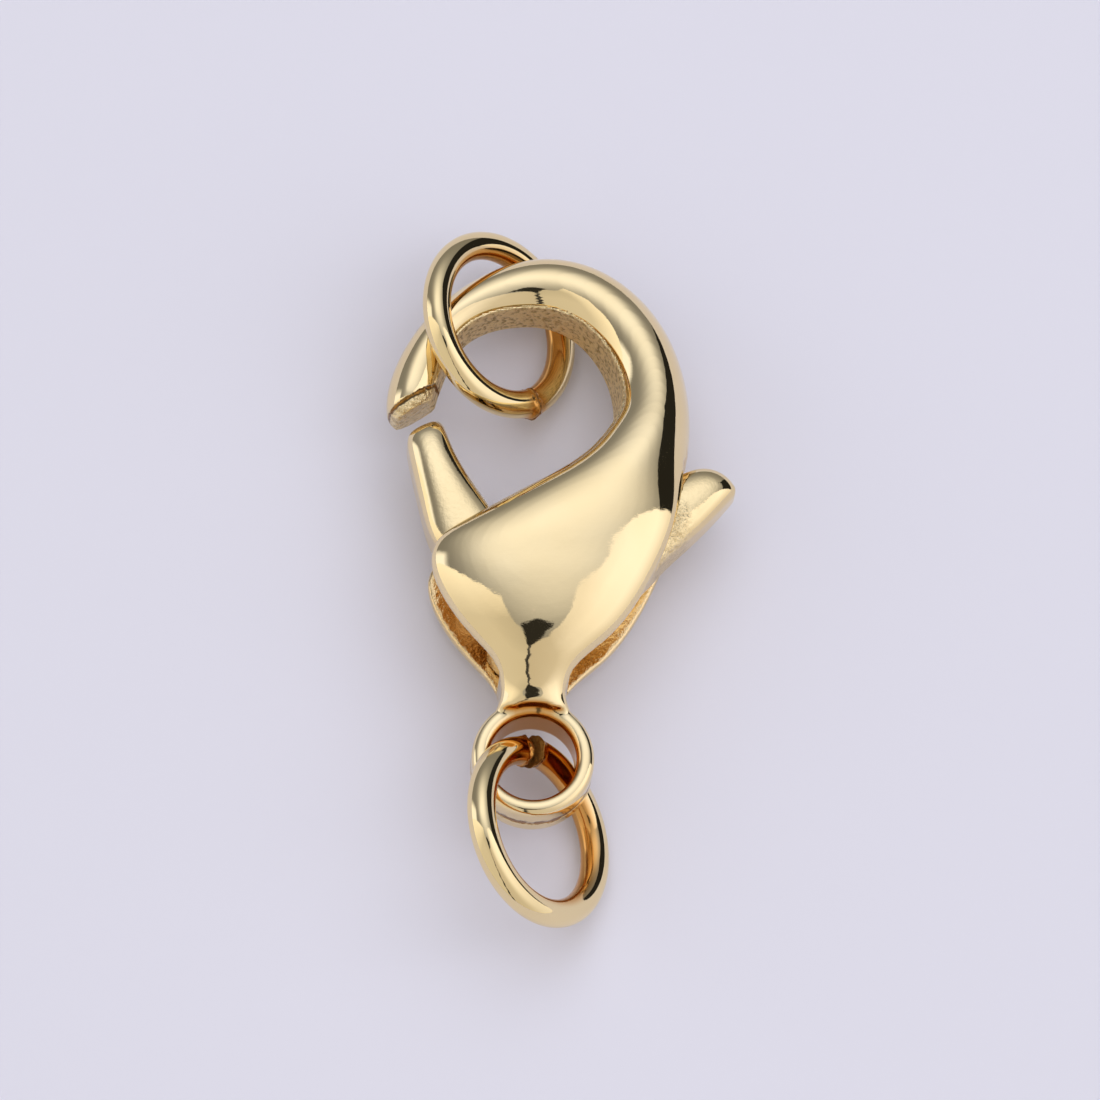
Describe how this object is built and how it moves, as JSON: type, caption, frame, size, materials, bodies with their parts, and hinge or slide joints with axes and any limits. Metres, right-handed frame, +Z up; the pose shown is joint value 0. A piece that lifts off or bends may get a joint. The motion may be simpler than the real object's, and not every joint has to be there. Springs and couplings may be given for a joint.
{
  "type": "lobster clasp with jump rings",
  "caption": "Cast lobster claw clasp with a sprung thumb lever that opens its hook, an eye for a chain, and an open jump ring through the hook and through the eye.",
  "frame": {"origin": "middle of the whole thing as it lies on its back, on the surface that it lies on", "axes": "+Z up from the surface, +Y from the eye towards the hook, +X towards the thumb end of the lever"},
  "size_m": [0.0088, 0.0186, 0.0038],
  "materials": {
    "body_gold": "cast brass, polished and plated in pale gold",
    "lever_gold": "cast brass, polished and plated in pale gold, with fine casting pits",
    "pin_gold": "drawn brass wire, plated",
    "spring_gold": "spring strip, plated",
    "ring_gold": "drawn brass wire, bright plated in pale gold"
  },
  "bodies": {
    "clasp": {"clasp_body": "body_gold", "pivot_pin": "pin_gold", "trigger_spring": "spring_gold", "hook_jump_ring": "ring_gold", "eye_jump_ring": "ring_gold"},
    "trigger": {"lever": "lever_gold"}
  },
  "joints": [
    {"name": "lever_pivot", "type": "hinge", "parent": "clasp", "child": "trigger", "pos_m": [-0.00184, -0.00046, 0.00184], "axis": [0, 0, -1], "range_deg": [0, 24], "stiffness_Nm_per_rad": 0.01, "deforming": ["trigger_spring"]}
  ]
}
